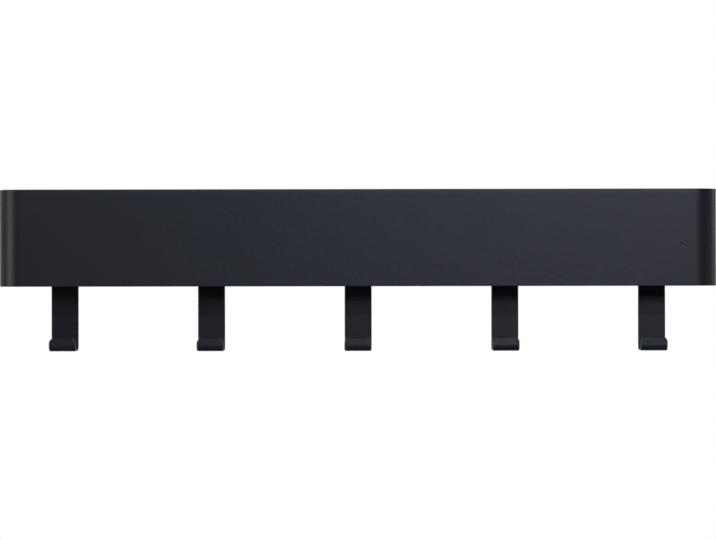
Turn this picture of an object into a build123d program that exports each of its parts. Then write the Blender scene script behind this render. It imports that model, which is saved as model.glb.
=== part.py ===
from build123d import *
import os

# Coat hook rail: a sheet-steel tray that hangs on a wall, with a row of strip hooks below it.
# Millimetres. X runs along the rail, the wall is the plane y = 0 and the front faces -Y.
# z = 0 is half way up the band, so the origin is the middle of the face that lies on the wall.

# Overall sizes
RAIL_LENGTH = 600.0
RAIL_DEPTH = 65.0
BAND_HEIGHT = 81.0

# Tray sheets
BAND_SHEET = 2.0
BAND_BEND_RADIUS = 17.0  # inside the fold at each end
BACK_SHEET = 2.0
FLOOR_SHEET = 2.0
FLOOR_RECESS = 22.0  # lower edge of the band to the underside of the floor
WELD_GAP = 0.2  # root gap around a sheet that is welded in
RIM_ROUND = 0.5  # rounding of the cut edges at the tray's rim

# Hooks
HOOK_COUNT = 5
HOOK_END_MARGIN = 50.0  # end of the rail to the middle of the outer hook
HOOK_WIDTH = 23.0
HOOK_SHEET = 3.0
HOOK_DROP = 55.0  # lower edge of the band to the underside of the hook
HOOK_REACH = 23.0  # front of the shank to the front of the lip
HOOK_BEND_RADIUS = 2.0  # inside both folds
LIP_STRAIGHT = 6.0  # flat part of the lip above its fold
LIP_CORNER_RADIUS = 4.5
HOOK_EDGE_BREAK = 0.5  # small chamfer along the hooks' cut edges

# Keyhole slots in the back plate
KEYHOLE_END_MARGIN = 100.0  # end of the rail to the middle of the slot
KEYHOLE_TOP_MARGIN = 14.0  # top of the back plate to the middle of the neck's upper end
KEYHOLE_RISE = 10.0  # middle of the entry hole to the middle of the neck's upper end
ENTRY_DIAMETER = 10.0
NECK_WIDTH = 5.0

# A rounding or chamfer takes at most this share of the room that it has
EDGE_LIMIT = 0.9

# Levels and planes that the pieces share
BAND_TOP = BAND_HEIGHT / 2
BAND_BOTTOM = -BAND_HEIGHT / 2
FLOOR_UNDERSIDE = BAND_BOTTOM + FLOOR_RECESS
INNER_HALF_LENGTH = RAIL_LENGTH / 2 - BAND_SHEET
BAND_INNER_Y = BAND_SHEET - RAIL_DEPTH
BACK_FRONT_Y = -BACK_SHEET


def round_off(edges, radius, room):
    """Round the edges by the radius, or by what the room beside them allows."""
    return fillet(edges, min(radius, EDGE_LIMIT * room))


def folded_section(inner_corners, inside_radius, thickness):
    """Edge view of a folded sheet, from the corners of its inner face, which lies on the left of the path."""
    inner_face = FilletPolyline(*inner_corners, radius=inside_radius)
    return make_face(offset(inner_face, amount=thickness, side=Side.RIGHT))


def make_front_band():
    """Front and both end walls of the tray: one strip with a rounded fold at each end."""
    inner_corners = [
        (-INNER_HALF_LENGTH, 0),
        (-INNER_HALF_LENGTH, BAND_INNER_Y),
        (INNER_HALF_LENGTH, BAND_INNER_Y),
        (INNER_HALF_LENGTH, 0),
    ]
    section = Pos(0, 0, BAND_BOTTOM) * folded_section(inner_corners, BAND_BEND_RADIUS, BAND_SHEET)
    strip = extrude(section, amount=BAND_HEIGHT, dir=(0, 0, 1))
    rims = strip.faces().filter_by(Axis.Z)
    rim_edges = rims.edges().filter_by_position(Axis.Y, -RAIL_DEPTH - BAND_SHEET, BACK_FRONT_Y)
    return round_off(rim_edges, RIM_ROUND, BAND_SHEET / 2)


def make_back_plate():
    """Flat sheet on the wall, between the ends of the band, with a keyhole slot near each end."""
    neck_top = BAND_TOP - KEYHOLE_TOP_MARGIN
    keyhole = Pos(0, -KEYHOLE_RISE) * Circle(ENTRY_DIAMETER / 2)
    keyhole += Pos(0, -KEYHOLE_RISE / 2) * SlotCenterToCenter(KEYHOLE_RISE, NECK_WIDTH, rotation=90)
    keyhole_x = RAIL_LENGTH / 2 - KEYHOLE_END_MARGIN
    outline = Rectangle(2 * (INNER_HALF_LENGTH - WELD_GAP), BAND_HEIGHT)
    for x in (-keyhole_x, keyhole_x):
        outline -= Pos(x, neck_top) * keyhole
    plate = extrude(Plane.XZ * outline, amount=BACK_SHEET, dir=(0, -1, 0))
    top_edges = plate.edges().filter_by(Axis.X).group_by(Axis.Z)[-1]
    return round_off(top_edges, RIM_ROUND, BACK_SHEET / 2)


def make_tray_floor():
    """Flat sheet that fits inside the band, with the rounding of its folds at the front corners."""
    half_length = INNER_HALF_LENGTH - WELD_GAP
    back_y = BACK_FRONT_Y - WELD_GAP
    front_y = BAND_INNER_Y + WELD_GAP
    corners = [(-half_length, back_y), (-half_length, front_y), (half_length, front_y), (half_length, back_y)]
    outline = FilletPolyline(*corners, radius=BAND_BEND_RADIUS - WELD_GAP)
    outline += Line(corners[-1], corners[0])
    return extrude(Pos(0, 0, FLOOR_UNDERSIDE) * make_face(outline), amount=FLOOR_SHEET, dir=(0, 0, 1))


def make_hook():
    """J-shaped strip at x = 0: a tab and shank on the back plate, a base to the front and a short lip."""
    shank_front = BACK_FRONT_Y - HOOK_SHEET
    lip_back = shank_front - HOOK_REACH + HOOK_SHEET
    tab_top = FLOOR_UNDERSIDE - WELD_GAP
    base_top = BAND_BOTTOM - HOOK_DROP + HOOK_SHEET
    lip_top = base_top + HOOK_BEND_RADIUS + LIP_STRAIGHT
    inner_corners = [(lip_back, lip_top), (lip_back, base_top), (shank_front, base_top), (shank_front, tab_top)]
    section = folded_section(inner_corners, HOOK_BEND_RADIUS, HOOK_SHEET)
    strip = extrude(Plane.YZ * section, amount=HOOK_WIDTH / 2, both=True)

    lip_end = strip.faces().filter_by(Axis.Z).sort_by(Axis.Y)[0]
    corner_room = min(LIP_STRAIGHT, HOOK_WIDTH / 2)
    strip = round_off(lip_end.edges().filter_by(Axis.Y), LIP_CORNER_RADIUS, corner_room)

    level_faces = strip.faces().filter_by(Axis.Z)
    lip_end = level_faces.sort_by(Axis.Y)[0]
    base_faces = level_faces.sort_by(Axis.Z)[:2]
    cut_edges = strip.edges().filter_by(Axis.Z) + strip.edges().filter_by(GeomType.CIRCLE)
    cut_edges += lip_end.edges().filter_by(Axis.X) + base_faces.edges().filter_by(Axis.Y)
    return chamfer(cut_edges, min(HOOK_EDGE_BREAK, EDGE_LIMIT * HOOK_SHEET / 2))


def make_pieces():
    """Every piece in its place, by name."""
    pieces = {
        "front_band": make_front_band(),
        "back_plate": make_back_plate(),
        "tray_floor": make_tray_floor(),
    }
    hook = make_hook()
    first_hook_x = HOOK_END_MARGIN - RAIL_LENGTH / 2
    hook_pitch = (RAIL_LENGTH - 2 * HOOK_END_MARGIN) / (HOOK_COUNT - 1)
    for number in range(HOOK_COUNT):
        pieces[f"hook_{number + 1}"] = Pos(first_hook_x + number * hook_pitch, 0, 0) * hook
    return pieces


os.makedirs("parts", exist_ok=True)
for name, piece in make_pieces().items():
    export_step(piece, f"parts/{name}.step")
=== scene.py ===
"""Finished look of the coat hook rail: folded sheets, strip hooks, weld beads and black powder coat."""

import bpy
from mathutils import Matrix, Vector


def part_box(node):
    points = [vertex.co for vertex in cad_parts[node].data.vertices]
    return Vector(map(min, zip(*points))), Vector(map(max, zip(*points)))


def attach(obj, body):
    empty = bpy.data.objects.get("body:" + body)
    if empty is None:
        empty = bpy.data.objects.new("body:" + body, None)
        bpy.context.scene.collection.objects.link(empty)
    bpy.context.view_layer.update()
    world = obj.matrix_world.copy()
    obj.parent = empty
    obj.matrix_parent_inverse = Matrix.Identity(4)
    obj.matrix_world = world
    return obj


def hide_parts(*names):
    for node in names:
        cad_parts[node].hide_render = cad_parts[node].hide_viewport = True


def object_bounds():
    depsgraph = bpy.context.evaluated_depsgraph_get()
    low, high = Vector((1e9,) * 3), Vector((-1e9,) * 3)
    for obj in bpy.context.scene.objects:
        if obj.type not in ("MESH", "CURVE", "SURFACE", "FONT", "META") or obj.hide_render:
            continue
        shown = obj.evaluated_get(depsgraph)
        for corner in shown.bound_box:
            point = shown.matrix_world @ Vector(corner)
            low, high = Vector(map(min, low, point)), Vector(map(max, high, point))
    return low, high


bl_info = {
    "name": "Coat Hook Rail",
    "version": (1, 0, 0),
    "blender": (4, 5, 0),
    "location": "3D View > Sidebar > Coat Rail",
    "description": "Dresses a packed coat hook rail with folded sheets, strip hooks, welds and powder coat",
    "category": "Object",
}

import math
from collections import namedtuple

import bpy
from bpy.props import FloatProperty, FloatVectorProperty, IntProperty, PointerProperty
from mathutils import Matrix, Vector

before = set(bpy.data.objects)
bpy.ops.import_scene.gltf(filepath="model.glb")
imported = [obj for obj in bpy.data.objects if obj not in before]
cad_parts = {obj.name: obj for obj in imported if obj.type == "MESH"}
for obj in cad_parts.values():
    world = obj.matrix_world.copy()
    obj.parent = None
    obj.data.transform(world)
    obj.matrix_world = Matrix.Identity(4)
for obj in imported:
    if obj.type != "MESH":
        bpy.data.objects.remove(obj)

MM = 0.001
BODY = "root"
COAT_IOR = 1.5

# The frame's boxes set where every sheet lies
CAD_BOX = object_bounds()
BAND_LOW, BAND_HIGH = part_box("front_band")
BACK_LOW, BACK_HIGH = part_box("back_plate")
FLOOR_LOW, FLOOR_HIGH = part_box("tray_floor")
HOOK_NODES = sorted(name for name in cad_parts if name.startswith("hook_"))
HOOK_BOXES = {name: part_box(name) for name in HOOK_NODES}
HOOK_LOW, HOOK_HIGH = HOOK_BOXES[HOOK_NODES[0]]

# Making tolerances of the lips, left to right
LIP_LEANS = (0.0, 0.7, 2.2, 2.5, 0.7)  # degrees by which each lip is folded past square
LIP_RISES = (0.2, 0.0, 0.35, 0.9, 0.85)  # millimetres by which each lip came out higher

# Directions that a folded strip's width takes
ALONG = Vector((1, 0, 0))
UP = Vector((0, 0, 1))

# Straight steps of the curves
BEND_PATH_STEPS = 96  # a fold path round one bend
NECK_STEPS = 16  # the neck of a keyhole
ENTRY_STEPS = 40  # the entry of a keyhole
FLOOR_CORNER_STEPS = 24
STAGE_FLOOR_STEPS = 96

# Cut edges of a sheet
EDGE_STEPS = 4
EDGE_PROFILE = 0.3  # fuller than a chamfer and less than a quarter circle
EDGE_ANGLE = math.radians(40)  # edges that turn less are bends and stay as they are

# Weld beads
BEAD_END = 0.05  # square of the tip's share of the full radius
BEAD_TAPER = 14.0  # how soon a bead reaches its full radius
BEAD_SIDES = 10
RIPPLE_STEPS = 5

# Noises of the coat, and how they make it thin
PEEL_DETAIL = 1.0
GRAIN_DETAIL = 1.0
CLOUD_DETAIL = 3.0
NOISE_MEAN = 0.5
THIN_FROM_CLOUD = 0.7
THIN_FROM_GRAIN = 0.5
THIN_START = 0.25

# Section of the pit, as shares of a cone's depth
PIT_FLOOR = 0.6
PIT_BLEND = 0.2  # how softly the side runs into the bottom

# Camera
SENSOR_WIDTH = 36.0  # millimetres
VIEW_RANGE = 100.0  # metres

# Studio lights: directions are seen from the rail, with 0 at the camera and + to its right, in degrees.
# Distances and sizes are in metres, and power is in watts.
StudioLight = namedtuple("StudioLight", "name azimuth elevation distance width height power colour")
NEUTRAL = (1.0, 0.97, 0.96)
VIOLET = (0.82, 0.78, 1.0)
COOL = (0.68, 0.85, 1.0)
STUDIO_LIGHTS = (
    StudioLight("low_front_strip", 11, 8.7, 2.5, 0.30, 0.10, 2.9, VIOLET),
    StudioLight("low_front_glow", 11, 13.0, 2.5, 0.50, 0.22, 4.4, VIOLET),
    StudioLight("middle_front_strip", 11, 22.2, 2.5, 0.30, 0.10, 6.7, COOL),
    StudioLight("high_front_softbox", 20, 36.3, 2.5, 0.40, 0.30, 8.0, VIOLET),
    StudioLight("near_top_strip", 5, 45.0, 1.0, 0.50, 0.15, 2.2, COOL),
    StudioLight("left_softbox", -64.5, 3.0, 2.4, 1.00, 1.00, 11.3, NEUTRAL),
    StudioLight("left_rim", -121, 8.0, 2.4, 1.05, 1.00, 2.9, NEUTRAL),
    StudioLight("right_strip", 80, 10.0, 2.4, 0.40, 1.20, 1.2, NEUTRAL),
    StudioLight("right_rim", 118, 10.0, 2.4, 0.90, 1.20, 4.8, NEUTRAL),
    StudioLight("front_bounce", 0, -37.0, 1.6, 2.80, 0.70, 1.1, NEUTRAL),
    StudioLight("rear_bounce", 180, -28.0, 1.5, 1.80, 0.70, 7.0, NEUTRAL),
    StudioLight("left_bounce", -98, -34.0, 1.2, 1.00, 0.80, 3.0, NEUTRAL),
    StudioLight("right_bounce", 98, -34.0, 1.2, 1.00, 0.80, 3.0, NEUTRAL),
    StudioLight("under_softbox", 180, -86.0, 2.0, 1.60, 0.80, 0.6, NEUTRAL),
    StudioLight("rear_top_softbox", 180, 52.0, 2.4, 2.60, 1.40, 11.0, NEUTRAL),
    StudioLight("overhead_softbox", 180, 84.0, 2.2, 1.60, 1.00, 22.0, NEUTRAL),
)


def length(name, description, default):
    """A length in metres that a user may change."""
    return FloatProperty(
        name=name, description=description, default=default, min=0.0, unit="LENGTH", precision=4
    )


def place(name, description, default):
    """A distance in metres to either side, which a user may change."""
    return FloatProperty(name=name, description=description, default=default, unit="LENGTH", precision=4)


def share(name, description, default, most=1.0):
    """A share of a whole that a user may change."""
    return FloatProperty(
        name=name, description=description, default=default, min=0.0, max=most, subtype="FACTOR"
    )


def face_count(name, description, default, fewest):
    """A number of faces that a user may change."""
    return IntProperty(name=name, description=description, default=default, min=fewest)


def shade(name, description, default):
    """A colour that a user may change."""
    return FloatVectorProperty(
        name=name, description=description, default=default, size=3, min=0.0, max=1.0, subtype="COLOR"
    )


class TraySheets(bpy.types.PropertyGroup):
    """Sizes of the folded band, the back plate and the floor."""

    band_sheet: length("Band sheet", "Thickness of the folded band", 2.0 * MM)
    band_bend: length("Band bend", "Inside radius of the fold at each end", 17.0 * MM)
    band_bend_steps: face_count("Bend steps", "Faces around each fold", 32, fewest=4)
    rim_round: length("Rim rounding", "Rounding of the cut edges", 0.5 * MM)
    keyhole_span: length("Keyhole span", "Distance between the two keyholes", 400.0 * MM)
    keyhole_top: length("Keyhole top", "Top of the back plate to the neck's upper end", 14.0 * MM)
    keyhole_rise: length("Keyhole rise", "Middle of the entry hole to the neck's upper end", 10.0 * MM)
    entry_diameter: length("Entry hole", "Diameter of the hole that lets a screw head in", 10.0 * MM)
    neck_width: length("Neck width", "Width of the slot that holds the screw", 5.0 * MM)
    floor_edge: length("Floor edge", "Rounding of the floor's cut edges", 0.3 * MM)


class HookStrips(bpy.types.PropertyGroup):
    """Sizes of the strip hooks."""

    sheet: length("Hook sheet", "Thickness of a hook", 3.0 * MM)
    bend: length("Hook bend", "Inside radius of both folds", 2.0 * MM)
    bend_steps: face_count("Bend steps", "Faces around each fold", 14, fewest=4)
    lip_straight: length("Lip height", "Flat part of the lip above its fold", 6.0 * MM)
    lip_lean: FloatVectorProperty(
        name="Lip lean", description="Lean of each lip towards the wall, left to right", size=len(HOOK_NODES),
        default=[math.radians(lean) for lean in LIP_LEANS], unit="ROTATION",
    )
    lip_rise: FloatVectorProperty(
        name="Lip rise", description="Extra height of each lip, left to right", size=len(HOOK_NODES),
        default=[rise * MM for rise in LIP_RISES], unit="LENGTH", precision=5,
    )
    lip_corner: length("Lip corner", "Radius of the two corners of the lip", 4.5 * MM)
    lip_corner_steps: face_count("Corner steps", "Faces around a lip corner", 12, fewest=3)
    edge_round: length("Edge rounding", "Rounding of the cut edges", 1.0 * MM)


class WeldBeads(bpy.types.PropertyGroup):
    """Sizes of the weld beads inside the tray and under its floor."""

    bead_radius: length("Bead radius", "Half the thickness of a bead", 1.5 * MM)
    ripple_pitch: length("Ripple pitch", "Distance from one ripple of a bead to the next", 1.4 * MM)
    ripple_depth: share("Ripple depth", "Height of a ripple as a share of the bead", 0.12, most=0.5)
    stitch: length("Stitch", "Length of one weld along a seam", 26.0 * MM)
    seam_drop: length("Seam drop", "Middle of a floor weld below the floor's underside", 0.2 * MM)
    low_margin: length("Low margin", "Lower edge of the band to an upright weld", 3.0 * MM)
    high_margin: length("High margin", "An upright weld to the floor's underside", 2.2 * MM)


class CoatFinish(bpy.types.PropertyGroup):
    """Colour and texture of the black powder coat."""

    colour: shade("Coat colour", "Main colour of the coat", (0.0125, 0.0140, 0.0190))
    thin_colour: shade("Thin coat colour", "Colour where the coat is thinner", (0.0165, 0.0178, 0.0225))
    # Painted highlight on the lips' side edges, as if they caught the side lights
    edge_highlight_colour: shade("Painted edge highlight colour", "Painted highlight on the lips' cut edges", (0.105, 0.105, 0.110))
    # The pit's lighter colour is a painted highlight; its dent is a real bump
    pit_highlight_colour: shade("Pit highlight colour", "Painted highlight colour of the small pit in the coat", (0.075, 0.075, 0.080))
    roughness: share("Roughness", "Mean roughness of the coat", 0.44)
    peel_size: length("Peel size", "Size of the coat's orange peel", 4.2 * MM)
    peel_depth: length("Peel depth", "Height of the orange peel", 0.065 * MM)
    grain_size: length("Grain size", "Size of the coat's fine grain", 0.45 * MM)
    grain_depth: length("Grain depth", "Height of the fine grain", 0.006 * MM)
    cloud_size: length("Cloud size", "Size of the slow changes in the coat's colour and gloss", 70.0 * MM)
    cloud_gloss: share("Cloud gloss", "Slow change of the roughness", 0.10)
    grain_gloss: share("Grain gloss", "Fine change of the roughness", 0.12)
    rim_roll_width: length("Rim roll width", "How far the coat falls away below the upper rim", 5.0 * MM)
    rim_roll_depth: length("Rim roll depth", "How much the coat falls away at the upper rim", 0.16 * MM)
    pit_along: place("Pit along", "Place of the pit along the rail", 270.95 * MM)
    pit_height: place("Pit height", "Place of the pit above the middle of the band", -6.5 * MM)
    pit_radius: length("Pit radius", "Radius of the pit", 1.6 * MM)
    pit_depth: length("Pit depth", "Depth of the pit in the coat", 0.36 * MM)


class StudioStage(bpy.types.PropertyGroup):
    """Floor, lights and camera."""

    camera_distance: length("Camera distance", "Camera to the wall plane of the rail", 2.57)
    camera_side: place("Camera side", "Camera to the right of the rail's middle", 16.7 * MM)
    camera_drop: length("Camera drop", "Camera below the middle of the band", 26.95 * MM)
    aim_side: place("Aim side", "Point the camera looks at, to the right of the rail's middle", -0.09 * MM)
    camera_roll: FloatProperty(
        name="Camera roll", description="Turn of the camera about its view", default=math.radians(0.095),
        subtype="ANGLE",
    )
    lens: FloatProperty(name="Lens", description="Focal length in millimetres", default=151.35, min=10.0)
    floor_drop: length("Floor drop", "Floor below the rail's origin", 0.75)
    floor_radius: length("Floor radius", "Radius of the floor", 2.6)
    floor_plain: share("Plain floor", "Share of the floor's radius inside which it is plain", 0.45)
    floor_colour: shade("Floor colour", "Colour of the plain floor", (0.80, 0.80, 0.80))
    light_strength: FloatProperty(
        name="Light strength", description="Strength of all the studio lights", default=1.0, min=0.0,
    )


class RailSettings(bpy.types.PropertyGroup):
    """Everything about the rail that a user may change."""

    tray: PointerProperty(type=TraySheets)
    hooks: PointerProperty(type=HookStrips)
    welds: PointerProperty(type=WeldBeads)
    coat: PointerProperty(type=CoatFinish)
    stage: PointerProperty(type=StudioStage)


# Node trees written as expressions


def find_socket(sockets, key):
    """A node's socket by its number, its identifier or its name."""
    if isinstance(key, int):
        return sockets[key]
    for socket in sockets:
        if socket.identifier == key:
            return socket
    return sockets[key]


class Wire:
    """An output socket that can stand in an expression: each operator adds its Math node."""

    def __init__(self, graph, socket):
        self.graph = graph
        self.socket = socket

    def out(self, key):
        """Another output of the same node."""
        return Wire(self.graph, find_socket(self.socket.node.outputs, key))

    def math(self, operation, *others):
        """A Math node on this wire and the others."""
        return self.graph.math(operation, self, *others)

    def clamp(self):
        """This wire, kept between 0 and 1."""
        return self.math("MAXIMUM", 0).math("MINIMUM", 1)

    def __add__(self, other):
        return self.graph.math("ADD", self, other)

    def __radd__(self, other):
        return self.graph.math("ADD", other, self)

    def __sub__(self, other):
        return self.graph.math("SUBTRACT", self, other)

    def __rsub__(self, other):
        return self.graph.math("SUBTRACT", other, self)

    def __mul__(self, other):
        return self.graph.math("MULTIPLY", self, other)

    def __rmul__(self, other):
        return self.graph.math("MULTIPLY", other, self)

    def __truediv__(self, other):
        return self.graph.math("DIVIDE", self, other)

    def __rtruediv__(self, other):
        return self.graph.math("DIVIDE", other, self)


class Graph:
    """Adds nodes to one tree."""

    def __init__(self, tree):
        self.tree = tree

    def add(self, kind, settings=None, sockets=None, out=0):
        """Add a node by its type, its settings and the values or links of its sockets."""
        node = self.tree.nodes.new(kind)
        for name, value in (settings or {}).items():
            setattr(node, name, value)
        for key, value in (sockets or {}).items():
            socket = find_socket(node.inputs, key)
            if isinstance(value, Wire):
                self.tree.links.new(value.socket, socket)
            else:
                socket.default_value = value
        return None if out is None else Wire(self, find_socket(node.outputs, out))

    def math(self, operation, *values):
        """A Math node on wires and numbers."""
        return self.add("ShaderNodeMath", {"operation": operation}, dict(enumerate(values)))

    def vector(self, operation, *values, out="Vector"):
        """A Vector Math node on wires and vectors."""
        return self.add("ShaderNodeVectorMath", {"operation": operation}, dict(enumerate(values)), out)

    def mix(self, factor, first, second):
        """A Mix node that goes from the first colour to the second."""
        sockets = {"Factor_Float": factor, "A_Color": first, "B_Color": second}
        return self.add("ShaderNodeMix", {"data_type": "RGBA"}, sockets, out="Result_Color")


def geometry_tree(name, inputs):
    """The graph of a new tree, a function that reads one of its named inputs and one that ends the tree."""
    tree = bpy.data.node_groups.new(name, "GeometryNodeTree")
    for input_name, kind in inputs.items():
        tree.interface.new_socket(input_name, in_out="INPUT", socket_type=kind)
    tree.interface.new_socket("Piece", in_out="OUTPUT", socket_type="NodeSocketGeometry")
    graph = Graph(tree)
    entry = graph.add("NodeGroupInput")

    def end(shape):
        whole = graph.add("GeometryNodeRealizeInstances", sockets={"Geometry": shape})
        smooth = graph.add("GeometryNodeSetShadeSmooth", sockets={"Geometry": whole})
        coated = graph.add("GeometryNodeSetMaterial", sockets={
            "Geometry": smooth,
            "Material": entry.out("Coat"),
        })
        graph.add("NodeGroupOutput", sockets={"Piece": coated}, out=None)
        return tree

    return graph, entry.out, end


def cut_sheet_tree():
    """Fill a drawn outline and its holes, and carry the sheet to its place."""
    graph, read, end = geometry_tree("Cut sheet", {
        "Outline": "NodeSocketGeometry",
        "Place": "NodeSocketVector",
        "Turn": "NodeSocketVector",
        "Coat": "NodeSocketMaterial",
    })
    drawn = graph.add("GeometryNodeMeshToCurve", sockets={"Mesh": read("Outline")})
    filled = graph.add("GeometryNodeFillCurve", {"mode": "NGONS"}, {"Curve": drawn})
    turn = graph.add("FunctionNodeEulerToRotation", sockets={"Euler": read("Turn")})
    placed = graph.add("GeometryNodeTransform", sockets={
        "Geometry": filled,
        "Translation": read("Place"),
        "Rotation": turn,
    })
    return end(placed)


def fold_strip_tree():
    """Fold a flat strip along a path of three runs: x of the strip follows the path and y lies across it."""
    graph, read, end = geometry_tree("Fold strip", {
        "Strip": "NodeSocketGeometry",
        "Start": "NodeSocketVector",
        "First Corner": "NodeSocketVector",
        "Second Corner": "NodeSocketVector",
        "End": "NodeSocketVector",
        "Bend Radius": "NodeSocketFloat",
        "Across": "NodeSocketVector",
        "Coat": "NodeSocketMaterial",
    })
    corners = graph.add("GeometryNodeCurvePrimitiveQuadrilateral", {"mode": "POINTS"}, {
        "Point 1": read("Start"),
        "Point 2": read("First Corner"),
        "Point 3": read("Second Corner"),
        "Point 4": read("End"),
    })
    opened = graph.add("GeometryNodeSetSplineCyclic", sockets={"Geometry": corners, "Cyclic": False})
    path = graph.add("GeometryNodeFilletCurve", {"mode": "POLY"}, {
        "Curve": opened,
        "Count": BEND_PATH_STEPS - 1,
        "Radius": read("Bend Radius"),
    })
    flat = graph.add("ShaderNodeSeparateXYZ", sockets={"Vector": graph.add("GeometryNodeInputPosition")})
    on_path = graph.add("GeometryNodeSampleCurve", {"mode": "LENGTH", "use_all_curves": True}, {
        "Curves": path,
        "Length": flat,
    }, out="Position")
    sideways = graph.add("ShaderNodeVectorMath", {"operation": "SCALE"}, {
        "Vector": read("Across"),
        "Scale": flat.out("Y"),
    })
    folded = graph.add("GeometryNodeSetPosition", sockets={
        "Geometry": read("Strip"),
        "Position": graph.vector("ADD", on_path, sideways),
    })
    return end(folded)


def weld_bead_tree():
    """Lay a rippled bead with tapered ends along each drawn stitch."""
    graph, read, end = geometry_tree("Weld bead", {
        "Stitches": "NodeSocketGeometry",
        "Bead Radius": "NodeSocketFloat",
        "Ripple Pitch": "NodeSocketFloat",
        "Ripple Depth": "NodeSocketFloat",
        "Coat": "NodeSocketMaterial",
    })
    pitch = read("Ripple Pitch")
    drawn = graph.add("GeometryNodeMeshToCurve", sockets={"Mesh": read("Stitches")})
    stepped = graph.add("GeometryNodeResampleCurve", {"mode": "LENGTH"}, {
        "Curve": drawn,
        "Length": pitch / RIPPLE_STEPS,
    })
    along = graph.add("GeometryNodeSplineParameter")
    ripple = (along.out("Length") / pitch * math.tau).math("SINE") * read("Ripple Depth")
    to_end = along.math("MINIMUM", 1 - along)
    taper = (to_end * BEAD_TAPER + BEAD_END).math("MINIMUM", 1).math("SQRT")
    bead = graph.add("GeometryNodeSetCurveRadius", sockets={
        "Curve": stepped,
        "Radius": read("Bead Radius") * (1 + ripple) * taper,
    })
    circle = graph.add("GeometryNodeCurvePrimitiveCircle", sockets={"Resolution": BEAD_SIDES, "Radius": 1.0})
    swept = graph.add("GeometryNodeCurveToMesh", sockets={
        "Curve": bead,
        "Profile Curve": circle,
        "Scale": graph.add("GeometryNodeInputRadius"),
        "Fill Caps": True,
    })
    return end(swept)


# Blanks that the trees work on


def flat_strip(name, rows, half_width, tip=()):
    """A strip of faces in the XY plane with rows across it, and a tip that is drawn round its first end."""
    points = [(along, side * half_width, 0.0) for along in rows for side in (-1, 1)]
    faces = [(2 * i, 2 * i + 2, 2 * i + 3, 2 * i + 1) for i in range(len(rows) - 1)]
    if tip:
        faces.append((0, 1, *range(len(points), len(points) + len(tip))))
        points += [(along, across, 0.0) for along, across in tip]
    mesh = bpy.data.meshes.new(name)
    mesh.from_pydata(points, [], faces)
    return mesh


def closed_outlines(name, loops):
    """Closed outlines of points in the XY plane, as edges."""
    points = []
    edges = []
    for loop in loops:
        first = len(points)
        points += [(x, y, 0.0) for x, y in loop]
        edges += [(first + i, first + (i + 1) % len(loop)) for i in range(len(loop))]
    mesh = bpy.data.meshes.new(name)
    mesh.from_pydata(points, edges, [])
    return mesh


def arc_points(centre, radius, start, end, steps):
    """Points along an arc in the plane, with its angles in degrees."""
    angles = [math.radians(start + (end - start) * i / steps) for i in range(steps + 1)]
    return [(centre[0] + radius * math.cos(a), centre[1] + radius * math.sin(a)) for a in angles]


def fold_rows(corners, radius, steps):
    """Distances along a folded path where its flat strip needs a row: both ends, and the steps of each bend.

    One more step on both sides of a bend keeps the shading of the flats flat.
    """
    rows = [0.0]
    bend_end = used = 0.0
    for before, corner, after in zip(corners, corners[1:], corners[2:]):
        turn = (corner - before).angle(after - corner)
        setback = radius * math.tan(turn / 2)
        bend_start = bend_end + (corner - before).length - used - setback
        step = radius * turn / steps
        rows += [bend_start + step * i for i in range(-1, steps + 2)]
        bend_end = bend_start + radius * turn
        used = setback
    rows.append(bend_end + (corners[-1] - corners[-2]).length - used)
    return rows


def fold_inputs(corners, radius, across, coat):
    """Inputs of the fold tree, for a path through four corners."""
    names = ("Start", "First Corner", "Second Corner", "End")
    return {**dict(zip(names, corners)), "Bend Radius": radius, "Across": across, "Coat": coat}


def lip_level(low, hooks, rise):
    """Height of a lip's upper edge, from its hook's lowest corner and the lip's own rise."""
    return low.z + hooks.sheet + hooks.bend + hooks.lip_straight + rise


# Pieces


def run_tree(piece, tree, values):
    """Give a piece its node tree, with each input set by its socket's identifier."""
    modifier = piece.modifiers.new(tree.name, "NODES")
    modifier.node_group = tree
    for name, value in values.items():
        modifier[tree.interface.items_tree[name].identifier] = value


def new_object(name, mesh):
    """A new object in the scene."""
    made = bpy.data.objects.new(name, mesh)
    bpy.context.scene.collection.objects.link(made)
    return made


def plain_mesh(piece):
    """Turn what the modifiers make into the piece's own mesh, and remove them."""
    graph = bpy.context.evaluated_depsgraph_get()
    mesh = bpy.data.meshes.new_from_object(
        piece.evaluated_get(graph), preserve_all_data_layers=True, depsgraph=graph
    )
    if not mesh.polygons:
        raise RuntimeError(f"{piece.name} came out empty")
    piece.modifiers.clear()
    blank = piece.data
    piece.data = mesh
    bpy.data.meshes.remove(blank)


def coated_piece(piece, *nodes):
    """Hand a finished piece over to the rail, in the place of its CAD nodes."""
    plain_mesh(piece)
    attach(piece, BODY)
    if nodes:
        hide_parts(*nodes)


def sheet_piece(name, blank, tree, values, sheet, edge_round, node):
    """A piece of sheet metal: its blank is cut or folded, then gets its thickness and soft cut edges."""
    piece = new_object(name, blank)
    run_tree(piece, tree, values)
    thicken = piece.modifiers.new("Sheet thickness", "SOLIDIFY")
    thicken.thickness = sheet
    thicken.offset = 0.0
    thicken.use_even_offset = True
    soften = piece.modifiers.new("Cut edges", "BEVEL")
    soften.width = edge_round
    soften.segments = EDGE_STEPS
    soften.profile = EDGE_PROFILE
    soften.limit_method = "ANGLE"
    soften.angle_limit = EDGE_ANGLE
    soften.harden_normals = True
    coated_piece(piece, node)


def shared_tree(name, make):
    """The tree of that name, made when it is first asked for."""
    return bpy.data.node_groups.get(name) or make()


# Finish


def noise(graph, point, size, detail):
    """Noise with features of about the given size, from 0 to 1."""
    return graph.add("ShaderNodeTexNoise", sockets={"Vector": point, "Scale": 1.0 / size, "Detail": detail})


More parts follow.
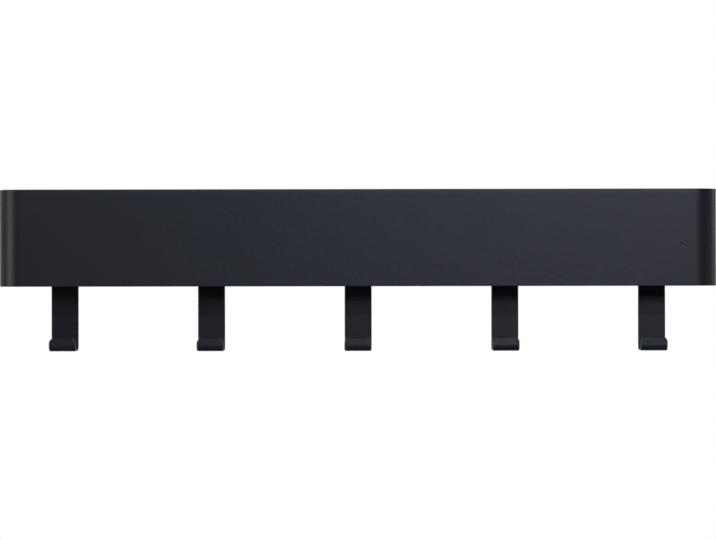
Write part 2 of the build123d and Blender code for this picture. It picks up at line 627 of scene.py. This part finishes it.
def powder_coat(settings):
    """Black powder coat with orange peel, grain, clouds in colour and gloss, a painted highlight on the lip
    edges and a pit with a painted highlight.
    """
    made = bpy.data.materials.get("Black powder coat")
    if made:
        return made
    coat, hooks = settings.coat, settings.hooks
    made = bpy.data.materials.new("Black powder coat")
    made.use_nodes = True
    made.node_tree.nodes.clear()
    graph = Graph(made.node_tree)
    point = graph.add("ShaderNodeTexCoord", out="Object")
    peel = noise(graph, point, coat.peel_size, PEEL_DETAIL)
    grain = noise(graph, point, coat.grain_size, GRAIN_DETAIL)
    cloud = noise(graph, point, coat.cloud_size, CLOUD_DETAIL)

    # The pit is a cone with a soft flat bottom: a real dent in the relief, with a painted highlight in its
    # colour
    pit_middle = (coat.pit_along, BAND_LOW.y, coat.pit_height)
    from_pit = graph.vector("DISTANCE", point, pit_middle, out="Value")
    pit = (1 - from_pit / coat.pit_radius).math("MAXIMUM", 0).math("SMOOTH_MIN", PIT_FLOOR, PIT_BLEND)

    # The lips get a painted highlight where the surface turns from their front to their sides
    height = graph.add("ShaderNodeSeparateXYZ", sockets={"Vector": point}, out="Z")
    facing = graph.add("ShaderNodeNewGeometry", out="Normal")
    sideways = graph.add("ShaderNodeSeparateXYZ", sockets={"Vector": facing}, out="X")
    square = sideways * sideways
    side_turn_band = 4 * square * (1 - square)
    lip_top = lip_level(HOOK_LOW, hooks, max(hooks.lip_rise))
    painted_lip_highlight = side_turn_band * ((lip_top - height) / MM).clamp()

    thin = (cloud * THIN_FROM_CLOUD + grain * THIN_FROM_GRAIN - THIN_START).clamp()
    colour = graph.mix(thin, (*coat.colour, 1.0), (*coat.thin_colour, 1.0))
    # Painted highlight: lightens the lips' side edges, as if they caught the side lights
    colour = graph.mix(painted_lip_highlight, colour, (*coat.edge_highlight_colour, 1.0))
    # Painted highlight: the pit is lighter, as if it caught the light from above
    colour = graph.mix(pit, colour, (*coat.pit_highlight_colour, 1.0))

    roughness = coat.roughness + (cloud - NOISE_MEAN) * coat.cloud_gloss
    roughness += (grain - NOISE_MEAN) * coat.grain_gloss

    near_rim = ((height - BAND_HIGH.z) / coat.rim_roll_width + 1).math("MAXIMUM", 0)
    roll = near_rim * near_rim * coat.rim_roll_depth
    relief = peel * coat.peel_depth + grain * coat.grain_depth - pit * coat.pit_depth - roll
    bump = graph.add("ShaderNodeBump", sockets={"Strength": 1.0, "Distance": 1.0, "Height": relief})
    surface = graph.add("ShaderNodeBsdfPrincipled", sockets={
        "Base Color": colour,
        "Roughness": roughness,
        "Normal": bump,
        "IOR": COAT_IOR,
    })
    graph.add("ShaderNodeOutputMaterial", sockets={"Surface": surface}, out=None)
    return made


def floor_finish(stage):
    """Plain pale floor that fades out towards its rim and is clear from below."""
    made = bpy.data.materials.new("Pale floor")
    made.use_nodes = True
    made.node_tree.nodes.clear()
    graph = Graph(made.node_tree)
    point = graph.add("ShaderNodeTexCoord", out="Object")
    from_middle = graph.vector("LENGTH", point, out="Value")
    inside = graph.add("ShaderNodeMapRange", {"interpolation_type": "SMOOTHSTEP"}, {
        "Value": from_middle,
        "From Min": stage.floor_radius * stage.floor_plain,
        "From Max": stage.floor_radius,
        "To Min": 1.0,
        "To Max": 0.0,
    })
    from_below = graph.add("ShaderNodeNewGeometry", out="Backfacing")
    surface = graph.add("ShaderNodeEmission", sockets={
        "Color": (*stage.floor_colour, 1.0),
        "Strength": 1.0,
    })
    clear = graph.add("ShaderNodeBsdfTransparent")
    mixed = graph.add("ShaderNodeMixShader", sockets={0: inside * (1 - from_below), 1: clear, 2: surface})
    graph.add("ShaderNodeOutputMaterial", sockets={"Surface": mixed}, out=None)
    return made


# Operators


class COAT_RAIL_OT_front_band(bpy.types.Operator):
    """Fold the band that makes the front and both ends of the tray"""

    bl_idname = "coat_rail.front_band"
    bl_label = "Front Band"

    def execute(self, context):
        settings = context.scene.coat_rail
        tray = settings.tray
        half_sheet = tray.band_sheet / 2
        left, right = BAND_LOW.x + half_sheet, BAND_HIGH.x - half_sheet
        front, wall = BAND_LOW.y + half_sheet, BAND_HIGH.y
        middle = (BAND_LOW.z + BAND_HIGH.z) / 2
        route = ((left, wall), (left, front), (right, front), (right, wall))
        corners = [Vector((x, y, middle)) for x, y in route]
        radius = tray.band_bend + half_sheet
        half_height = (BAND_HIGH.z - BAND_LOW.z) / 2
        rows = fold_rows(corners, radius, tray.band_bend_steps)
        blank = flat_strip("band_blank", rows, half_height)
        tree = shared_tree("Fold strip", fold_strip_tree)
        values = fold_inputs(corners, radius, UP, powder_coat(settings))
        sheet_piece("folded_band", blank, tree, values, tray.band_sheet, tray.rim_round, "front_band")
        return {"FINISHED"}


class COAT_RAIL_OT_flat_sheets(bpy.types.Operator):
    """Cut the back plate with its keyholes and the floor of the tray"""

    bl_idname = "coat_rail.flat_sheets"
    bl_label = "Back Plate and Floor"

    def keyhole(self, tray, along):
        """Outline of a keyhole: a round entry and a narrower neck that rises from it."""
        neck_top = BACK_HIGH.z - tray.keyhole_top
        entry_radius, neck_radius = tray.entry_diameter / 2, tray.neck_width / 2
        shoulder = math.degrees(math.acos(neck_radius / entry_radius))
        entry_middle = (along, neck_top - tray.keyhole_rise)
        neck = arc_points((along, neck_top), neck_radius, 0, 180, NECK_STEPS)
        return neck + arc_points(entry_middle, entry_radius, 180 - shoulder, 360 + shoulder, ENTRY_STEPS)

    def back_plate(self, settings, tree):
        """The flat sheet on the wall."""
        tray = settings.tray
        corners = [
            (BACK_LOW.x, BACK_LOW.z),
            (BACK_HIGH.x, BACK_LOW.z),
            (BACK_HIGH.x, BACK_HIGH.z),
            (BACK_LOW.x, BACK_HIGH.z),
        ]
        half_span = tray.keyhole_span / 2
        loops = [corners] + [self.keyhole(tray, along) for along in (-half_span, half_span)]
        values = {
            "Place": Vector((0, (BACK_LOW.y + BACK_HIGH.y) / 2, 0)),
            "Turn": Vector((math.radians(90), 0, 0)),
            "Coat": powder_coat(settings),
        }
        blank = closed_outlines("back_blank", loops)
        sheet = BACK_HIGH.y - BACK_LOW.y
        sheet_piece("wall_plate", blank, tree, values, sheet, tray.rim_round, "back_plate")

    def tray_floor(self, settings, tree):
        """The flat sheet inside the band, with the band's rounding at its front corners."""
        tray = settings.tray
        radius = tray.band_bend - (FLOOR_LOW.y - BAND_LOW.y - tray.band_sheet)
        inset_left, inset_right = FLOOR_LOW.x + radius, FLOOR_HIGH.x - radius
        inset_front = FLOOR_LOW.y + radius
        outline = arc_points((inset_left, inset_front), radius, 180, 270, FLOOR_CORNER_STEPS)
        outline += arc_points((inset_right, inset_front), radius, 270, 360, FLOOR_CORNER_STEPS)
        outline += [(FLOOR_HIGH.x, FLOOR_HIGH.y), (FLOOR_LOW.x, FLOOR_HIGH.y)]
        values = {
            "Place": Vector((0, 0, (FLOOR_LOW.z + FLOOR_HIGH.z) / 2)),
            "Turn": Vector((0, 0, 0)),
            "Coat": powder_coat(settings),
        }
        blank = closed_outlines("floor_blank", [outline])
        sheet = FLOOR_HIGH.z - FLOOR_LOW.z
        sheet_piece("tray_base", blank, tree, values, sheet, tray.floor_edge, "tray_floor")

    def execute(self, context):
        settings = context.scene.coat_rail
        tree = shared_tree("Cut sheet", cut_sheet_tree)
        self.back_plate(settings, tree)
        self.tray_floor(settings, tree)
        return {"FINISHED"}


class COAT_RAIL_OT_hooks(bpy.types.Operator):
    """Fold the strip hooks"""

    bl_idname = "coat_rail.hooks"
    bl_label = "Hooks"

    def blank(self, hooks, corners, radius):
        """A hook's flat strip, from the tip of the lip, which has two round corners, to the tab."""
        half_width = (HOOK_HIGH.x - HOOK_LOW.x) / 2
        corner, steps = hooks.lip_corner, hooks.lip_corner_steps
        tip = arc_points((corner, half_width - corner), corner, 90, 180, steps)
        tip += arc_points((corner, corner - half_width), corner, 180, 270, steps)
        return flat_strip("hook_blank", fold_rows(corners, radius, hooks.bend_steps)[1:], half_width, tip)

    def execute(self, context):
        settings = context.scene.coat_rail
        hooks = settings.hooks
        half_sheet = hooks.sheet / 2
        radius = hooks.bend + half_sheet
        tree = shared_tree("Fold strip", fold_strip_tree)
        for lean, rise, (node, (low, high)) in zip(hooks.lip_lean, hooks.lip_rise, HOOK_BOXES.items()):
            middle = (low.x + high.x) / 2
            lip, shank = low.y + half_sheet, high.y - half_sheet
            base = low.z + half_sheet
            lip_top = lip_level(low, hooks, rise)
            tip = lip + (lip_top - base) * math.tan(lean)
            route = ((tip, lip_top), (lip, base), (shank, base), (shank, high.z))
            corners = [Vector((middle, y, z)) for y, z in route]
            values = fold_inputs(corners, radius, ALONG, powder_coat(settings))
            blank = self.blank(hooks, corners, radius)
            sheet_piece(f"strip_{node}", blank, tree, values, hooks.sheet, hooks.edge_round, node)
        return {"FINISHED"}


class COAT_RAIL_OT_welds(bpy.types.Operator):
    """Lay the weld beads that hold the floor, the hooks and the ends of the back plate"""

    bl_idname = "coat_rail.welds"
    bl_label = "Welds"

    def stitches(self, welds):
        """Both ends of every stitch: along the floor's seams, and up the tabs' sides and the plate's ends."""
        half = welds.stitch / 2
        under = FLOOR_LOW.z - welds.seam_drop
        foot, head = BAND_LOW.z + welds.low_margin, FLOOR_LOW.z - welds.high_margin
        hook_middles = [(low.x + high.x) / 2 for low, high in HOOK_BOXES.values()]
        seam_middles = [(a + b) / 2 for a, b in zip(hook_middles, hook_middles[1:])]
        lines = []
        for along in seam_middles:
            for seam in (FLOOR_LOW.y, FLOOR_HIGH.y):
                lines.append(((along - half, seam, under), (along + half, seam, under)))
        sides = [corner.x for box in HOOK_BOXES.values() for corner in box]
        for side in [BACK_LOW.x, *sides, BACK_HIGH.x]:
            lines.append(((side, BACK_LOW.y, foot), (side, BACK_LOW.y, head)))
        return lines

    def execute(self, context):
        settings = context.scene.coat_rail
        welds = settings.welds
        lines = self.stitches(welds)
        mesh = bpy.data.meshes.new("weld_lines")
        points = [point for line in lines for point in line]
        mesh.from_pydata(points, [(2 * i, 2 * i + 1) for i in range(len(lines))], [])
        beads = new_object("weld_beads", mesh)
        run_tree(beads, shared_tree("Weld bead", weld_bead_tree), {
            "Bead Radius": welds.bead_radius,
            "Ripple Pitch": welds.ripple_pitch,
            "Ripple Depth": welds.ripple_depth,
            "Coat": powder_coat(settings),
        })
        coated_piece(beads)
        return {"FINISHED"}


class COAT_RAIL_OT_stage(bpy.types.Operator):
    """Set up the pale floor, the studio lights and the camera"""

    bl_idname = "coat_rail.stage"
    bl_label = "Studio Stage"

    def floor(self, stage):
        """A round floor below the rail."""
        disc = arc_points((0.0, 0.0), stage.floor_radius, 0, 360, STAGE_FLOOR_STEPS)[:-1]
        mesh = bpy.data.meshes.new("studio_floor")
        mesh.from_pydata([(x, y, 0.0) for x, y in disc], [], [tuple(range(len(disc)))])
        mesh.materials.append(floor_finish(stage))
        floor = new_object("studio_floor", mesh)
        floor.location.z = -stage.floor_drop
        floor.visible_diffuse = False
        floor.visible_glossy = False
        floor.visible_shadow = False

    def light(self, stage, setup, aim):
        """One soft rectangular light that points at the rail."""
        azimuth, elevation = math.radians(setup.azimuth), math.radians(setup.elevation)
        level = math.cos(elevation)
        towards = Vector((math.sin(azimuth) * level, -math.cos(azimuth) * level, math.sin(elevation)))
        lamp = bpy.data.lights.new(setup.name, "AREA")
        lamp.shape = "RECTANGLE"
        lamp.size = setup.width
        lamp.size_y = setup.height
        lamp.energy = setup.power * stage.light_strength
        lamp.color = setup.colour
        holder = new_object(setup.name, lamp)
        holder.visible_camera = False
        holder.location = aim + towards * setup.distance
        holder.rotation_euler = towards.to_track_quat("Z", "Y").to_euler()

    def background(self, scene):
        """White behind the rail, which gives no light of its own."""
        world = bpy.data.worlds.new("White background")
        world.use_nodes = True
        world.node_tree.nodes.clear()
        graph = Graph(world.node_tree)
        white = graph.add("ShaderNodeBackground", sockets={"Color": (1.0, 1.0, 1.0, 1.0), "Strength": 1.0})
        graph.add("ShaderNodeOutputWorld", sockets={"Surface": white}, out=None)
        for kind in ("diffuse", "glossy", "transmission", "scatter"):
            setattr(world.cycles_visibility, kind, False)
        scene.world = world

    def camera(self, scene, stage, aim):
        """The camera at the photograph's angle."""
        data = bpy.data.cameras.new("camera")
        data.sensor_width = SENSOR_WIDTH
        data.lens = stage.lens
        data.clip_end = VIEW_RANGE
        camera = new_object("camera", data)
        stand = Vector((stage.camera_side, -stage.camera_distance, -stage.camera_drop))
        look = (aim - stand).to_track_quat("-Z", "Y").to_matrix().to_4x4()
        roll = Matrix.Rotation(-stage.camera_roll, 4, "Z")
        camera.matrix_world = Matrix.Translation(stand) @ look @ roll
        scene.camera = camera

    def execute(self, context):
        scene = context.scene
        stage = scene.coat_rail.stage
        middle = (CAD_BOX[0] + CAD_BOX[1]) / 2
        self.floor(stage)
        for setup in STUDIO_LIGHTS:
            self.light(stage, setup, middle)
        self.background(scene)
        self.camera(scene, stage, Vector((stage.aim_side, 0.0, -stage.camera_drop)))
        scene.view_settings.view_transform = "Standard"
        return {"FINISHED"}


class COAT_RAIL_PT_sidebar(bpy.types.Panel):
    """Sizes, finish and steps of the coat hook rail"""

    bl_label = "Coat Hook Rail"
    bl_idname = "COAT_RAIL_PT_sidebar"
    bl_space_type = "VIEW_3D"
    bl_region_type = "UI"
    bl_category = "Coat Rail"

    def draw(self, context):
        settings = context.scene.coat_rail
        groups = (
            (settings.tray, (COAT_RAIL_OT_front_band, COAT_RAIL_OT_flat_sheets)),
            (settings.hooks, (COAT_RAIL_OT_hooks,)),
            (settings.welds, (COAT_RAIL_OT_welds,)),
            (settings.coat, ()),
            (settings.stage, (COAT_RAIL_OT_stage,)),
        )
        for group, operators in groups:
            box = self.layout.box()
            for name in group.__annotations__:
                box.prop(group, name)
            for operator in operators:
                box.operator(operator.bl_idname)


CLASSES = (
    TraySheets,
    HookStrips,
    WeldBeads,
    CoatFinish,
    StudioStage,
    RailSettings,
    COAT_RAIL_OT_front_band,
    COAT_RAIL_OT_flat_sheets,
    COAT_RAIL_OT_hooks,
    COAT_RAIL_OT_welds,
    COAT_RAIL_OT_stage,
    COAT_RAIL_PT_sidebar,
)


def register():
    """Add the classes and the scene's settings."""
    for made in CLASSES:
        bpy.utils.register_class(made)
    bpy.types.Scene.coat_rail = PointerProperty(type=RailSettings)


def unregister():
    """Remove the settings and the classes."""
    del bpy.types.Scene.coat_rail
    for made in reversed(CLASSES):
        bpy.utils.unregister_class(made)


def main():
    """Make every piece and the stage."""
    register()
    bpy.ops.coat_rail.front_band()
    bpy.ops.coat_rail.flat_sheets()
    bpy.ops.coat_rail.hooks()
    bpy.ops.coat_rail.welds()
    bpy.ops.coat_rail.stage()


if __name__ == "__main__":
    main()
